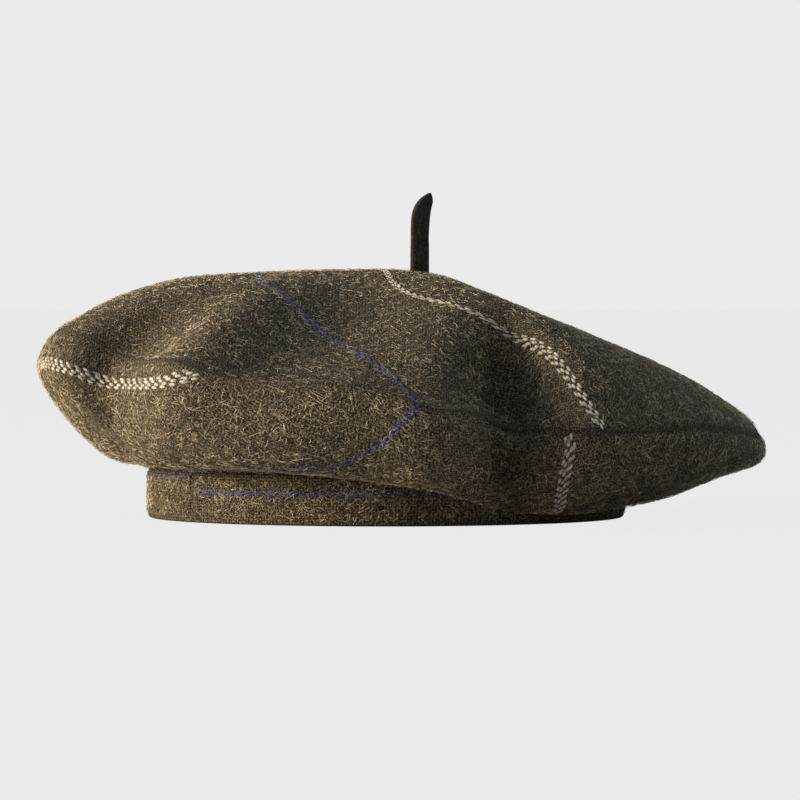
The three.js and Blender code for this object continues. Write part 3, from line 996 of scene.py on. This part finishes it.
def stemPiece():
    half, tall, slope = stem["halfWidth"], stem["height"], stem["footSlope"]
    lean, notch = half + stem["lean"], half + stem["notch"]
    tip = (lean, tall)
    leftCurve = curveOf((-half + 0.2, tall * 0.62), (-half + 0.6, tall * 0.9), tip, 60)
    leftEdge = np.vstack([[(-half, slope / 2)], leftCurve])
    lowCurve = curveOf((half, tall * 0.5), (lean, tall * 0.74), (notch, tall * 0.88), 40)
    highCurve = curveOf((notch, tall * 0.88), (half + 1.6, tall), tip, 40)
    rightEdge = np.vstack([[(half, -slope / 2)], lowCurve, highCurve[1:]])
    share = 1 - (1 - np.linspace(0, 1, stem["rows"])) ** stem["rowCrowding"]
    acrossPower, throughPower = stem["sectionPower"]
    creaseDepth, creaseWidth = stem["crease"]
    turn = math.tau * np.arange(stem["around"]) / stem["around"]
    across = np.sign(np.cos(turn)) * np.abs(np.cos(turn)) ** acrossPower
    through = np.sign(np.sin(turn)) * np.abs(np.sin(turn)) ** throughPower
    rows = []
    for s in share[:-1]:
        height = s * tall
        left = np.interp(height, leftEdge[:, 1], leftEdge[:, 0])
        right = np.interp(height, rightEdge[:, 1], rightEdge[:, 0])
        lift = slope / 2 * (1 - s)
        wide = (right - left) / 2
        thick = stem["thickness"] / 2 * min(1, (wide / half) ** 0.5) * (1 - 0.12 * math.sin(s * math.pi))
        crease = creaseDepth * hump(wide * across, wide * creaseWidth) * np.sign(np.sin(turn))
        x = (left + right) / 2 + wide * across
        rows.append(np.stack([x, thick * through - crease, height - lift * across], -1))
    grid = np.array(rows)
    grid[..., 1] += waves(grid, stem["waves"])
    columns = stem["around"]
    tipPoint = np.array([[tip[0], 0.0, tip[1]]])
    foot = grid[0].mean(0)[None]
    angle = math.radians(stem["turn"])
    c, s = math.cos(angle), math.sin(angle)
    spin = np.array([[c, s, 0], [-s, c, 0], [0, 0, 1]])
    points = np.concatenate([grid.reshape(-1, 3), tipPoint, foot]) @ spin
    footHeight = middlePoint[2] + stem["lift"]
    points += [crown["stemFoot"][0], crown["stemFoot"][1], footHeight]
    quads = quadGrid(len(grid), columns)
    index = quads[..., 0] * columns + quads[..., 1] % columns
    faces = index[:, ::-1].tolist()
    i = np.arange(columns)
    top, bottom = len(grid) * columns, len(grid) * columns + 1
    last = (len(grid) - 1) * columns
    faces += np.stack([last + i, last + (i + 1) % columns, np.full(columns, top)], -1).tolist()
    faces += np.stack([(i + 1) % columns, i, np.full(columns, bottom)], -1).tolist()
    made = meshObject("stemTab", points, faces, stemPaintedShadeMaterial())
    made.data.set_sharp_from_angle(angle=math.radians(70))
    return made


def stemPaintedShadeMaterial():
    # the tab is the crown's tweed, with its colours darkened to paint in the shade it stands in
    tree = Tree("stemClothPaintedShade")
    where = tree.node("TexCoord", {}, {}, "Object")
    fluff = tree.cloud(where, 900.0, 3.0, 0.65)
    broad = tree.cloud(where, 160.0, 2.0)
    shade = fluff * 0.7 + broad * 0.3
    # painted shade: browns much darker than the crown's tweed
    colour = shade.rise(0.38, 0.58).mixed((0.010, 0.008, 0.006), (0.034, 0.025, 0.015))
    colour = (fluff.rise(0.57, 0.68) * 0.6).mixed(colour, (0.11, 0.08, 0.045))
    normal = tree.node("Bump", {}, {"Height": fluff, "Strength": 0.9, "Distance": 0.4 * mm}, "Normal")
    tree.feed(tree.surface, {"Base Color": colour, "Normal": normal, "Roughness": 0.92,
                             "Sheen Weight": 0.15, "Specular IOR Level": 0.2})
    return tree.material


print("stem: doubled cloth tab")
stemTab = stemPiece()

for piece, node, slotName in ((crownTop, "crown_top", "tweed_top"), (crownSide, "crown_side", "tweed_side"),
                              (headbandCloth, "headband", "tweed_band"), (stemTab, "stem", "stem_cloth")):
    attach(piece, "root")
    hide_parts(node)
for piece, slotName in trims:
    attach(piece, "root")

studio = {
    "paper": 0.831,  # brightness of the plain background
    "keyTurn": 11,  # degrees in front of the hat's left
    "keyRise": 11,
    "keyDistance": 2.2,
    "keySize": 0.7,
    "keyPower": 100,
    "keyAim": 0.05,
    "keyColour": (1.0, 0.88, 0.72),
    "skyColour": (0.72, 0.86, 1.02),
    "skyPower": 0.52,
    "floorSize": 30,
    "floorColour": (0.62, 0.60, 0.57),
    "floorGlow": 0.97,  # how much of the floor's look is the plain background
    "sensor": 36,
    "cameraDistance": 2.2,
    "cameraRise": 1.2,
    "frameWidth": 0.3096,  # metres across the picture at the hat
    "aim": (0.0054, 0, 0.0451),  # from the headband's axis
}


def stageFloor():
    tree = Tree("paleFloor")
    glow = tree.node("Emission", {}, {"Color": (studio["paper"],) * 3, "Strength": 1.0}, "Emission")
    tree.feed(tree.surface, {"Base Color": studio["floorColour"], "Roughness": 0.9})
    seen = tree.node("LightPath", {}, {}, "Is Camera Ray")
    plain = Wire(tree, tree.surface.outputs[0])
    both = tree.node("MixShader", {}, {0: seen * studio["floorGlow"], 1: plain, 2: glow})
    end = next(n for n in tree.nodes if n.type == "OUTPUT_MATERIAL")
    tree.links.new(both.socket, end.inputs["Surface"])
    half = studio["floorSize"] / 2
    corners = [(-half, -half, 0), (half, -half, 0), (half, half, 0), (-half, half, 0)]
    mesh = bpy.data.meshes.new("floor")
    mesh.from_pydata(corners, [], [(0, 1, 2, 3)])
    mesh.materials.append(tree.material)
    floor = bpy.data.objects.new("floor", mesh)
    bpy.context.scene.collection.objects.link(floor)


def keyLight():
    turn, rise = math.radians(studio["keyTurn"]), math.radians(studio["keyRise"])
    away = Vector((-math.cos(rise) * math.cos(turn), -math.cos(rise) * math.sin(turn), math.sin(rise)))
    data = bpy.data.lights.new("windowLight", "AREA")
    data.size = studio["keySize"]
    data.energy = studio["keyPower"]
    data.color = studio["keyColour"]
    lamp = bpy.data.objects.new("windowLight", data)
    bpy.context.scene.collection.objects.link(lamp)
    lamp.location = Vector((0, 0, studio["keyAim"])) + away * studio["keyDistance"]
    lamp.rotation_euler = (-away).to_track_quat("-Z", "Y").to_euler()


def sky():
    world = bpy.data.worlds.new("studioSky")
    bpy.context.scene.world = world
    world.use_nodes = True
    nodes, links = world.node_tree.nodes, world.node_tree.links
    fill = nodes["Background"]
    fill.inputs["Color"].default_value = (*studio["skyColour"], 1)
    fill.inputs["Strength"].default_value = studio["skyPower"]
    paper = nodes.new("ShaderNodeBackground")
    paper.inputs["Color"].default_value = (*(studio["paper"],) * 3, 1)
    seen = nodes.new("ShaderNodeLightPath")
    both = nodes.new("ShaderNodeMixShader")
    links.new(seen.outputs["Is Camera Ray"], both.inputs[0])
    links.new(fill.outputs[0], both.inputs[1])
    links.new(paper.outputs[0], both.inputs[2])
    links.new(both.outputs[0], nodes["World Output"].inputs["Surface"])


def camera():
    rise = math.radians(studio["cameraRise"])
    data = bpy.data.cameras.new("camera")
    data.sensor_width = studio["sensor"]
    data.lens = studio["sensor"] * studio["cameraDistance"] / studio["frameWidth"]
    made = bpy.data.objects.new("camera", data)
    bpy.context.scene.collection.objects.link(made)
    look = Vector((0, math.cos(rise), -math.sin(rise)))
    made.location = Vector(bandAxis) + Vector(studio["aim"]) - look * studio["cameraDistance"]
    made.rotation_euler = look.to_track_quat("-Z", "Y").to_euler()
    bpy.context.scene.camera = made


print("studio: floor, light and camera")
stageFloor()
keyLight()
sky()
camera()
bpy.context.scene.view_settings.view_transform = "Standard"
